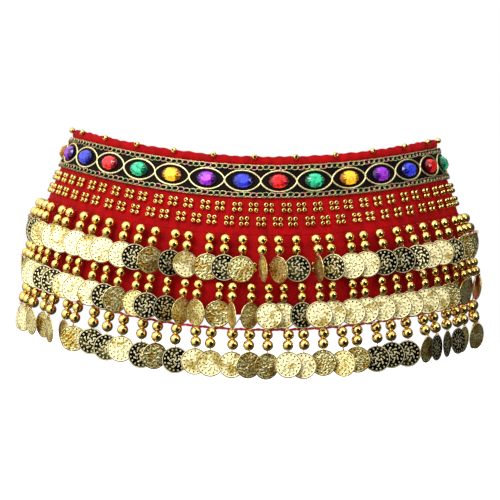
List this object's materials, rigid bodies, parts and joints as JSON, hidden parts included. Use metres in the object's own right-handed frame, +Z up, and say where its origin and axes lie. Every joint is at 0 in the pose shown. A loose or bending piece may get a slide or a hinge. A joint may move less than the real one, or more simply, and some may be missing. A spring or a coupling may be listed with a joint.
{
  "type": "belly dance hip scarf",
  "caption": "Flared velvet hip band, closed at the back, with a jewelled ribbon round the top and three rows of beaded coin strands across the front.",
  "frame": {"origin": "middle of the waist opening, level with the top edge at the sides", "axes": "+Z up, +X to the wearer's left, front facing -Y"},
  "size_m": [0.3777, 0.2849, 0.1893],
  "materials": {
    "velvet": "short-pile stretch velvet",
    "jacquard": "black satin ribbon woven with gold thread",
    "fastener": "hook-and-loop tape",
    "gold": "bright gold-coloured plating",
    "gem_blue": "faceted, foil-backed acrylic",
    "gem_red": "faceted, foil-backed acrylic",
    "gem_green": "faceted, foil-backed acrylic",
    "gem_yellow": "faceted, foil-backed acrylic",
    "gem_purple": "faceted, foil-backed acrylic"
  },
  "bodies": {
    "root": {"front": "velvet", "back_left": "velvet", "back_right": "velvet", "ribbon": "jacquard", "fastener": "fastener", "coins_row_1": "gold", "coins_row_2": "gold", "coins_row_3": "gold", "gem_01": "gem_blue", "gem_02": "gem_red", "gem_03": "gem_green", "gem_04": "gem_yellow", "gem_05": "gem_purple", "gem_06": "gem_blue", "gem_07": "gem_red", "gem_08": "gem_green", "gem_09": "gem_yellow", "gem_10": "gem_purple", "gem_11": "gem_blue", "gem_12": "gem_red", "gem_13": "gem_green", "gem_14": "gem_yellow", "gem_15": "gem_purple", "gem_16": "gem_blue", "gem_17": "gem_red", "gem_18": "gem_green", "gem_19": "gem_yellow", "gem_20": "gem_purple", "gem_21": "gem_blue", "gem_22": "gem_red", "gem_23": "gem_green", "gem_24": "gem_yellow", "gem_25": "gem_purple", "gem_26": "gem_blue", "gem_27": "gem_red", "gem_28": "gem_green", "gem_29": "gem_yellow", "gem_30": "gem_purple"}
  },
  "joints": []
}
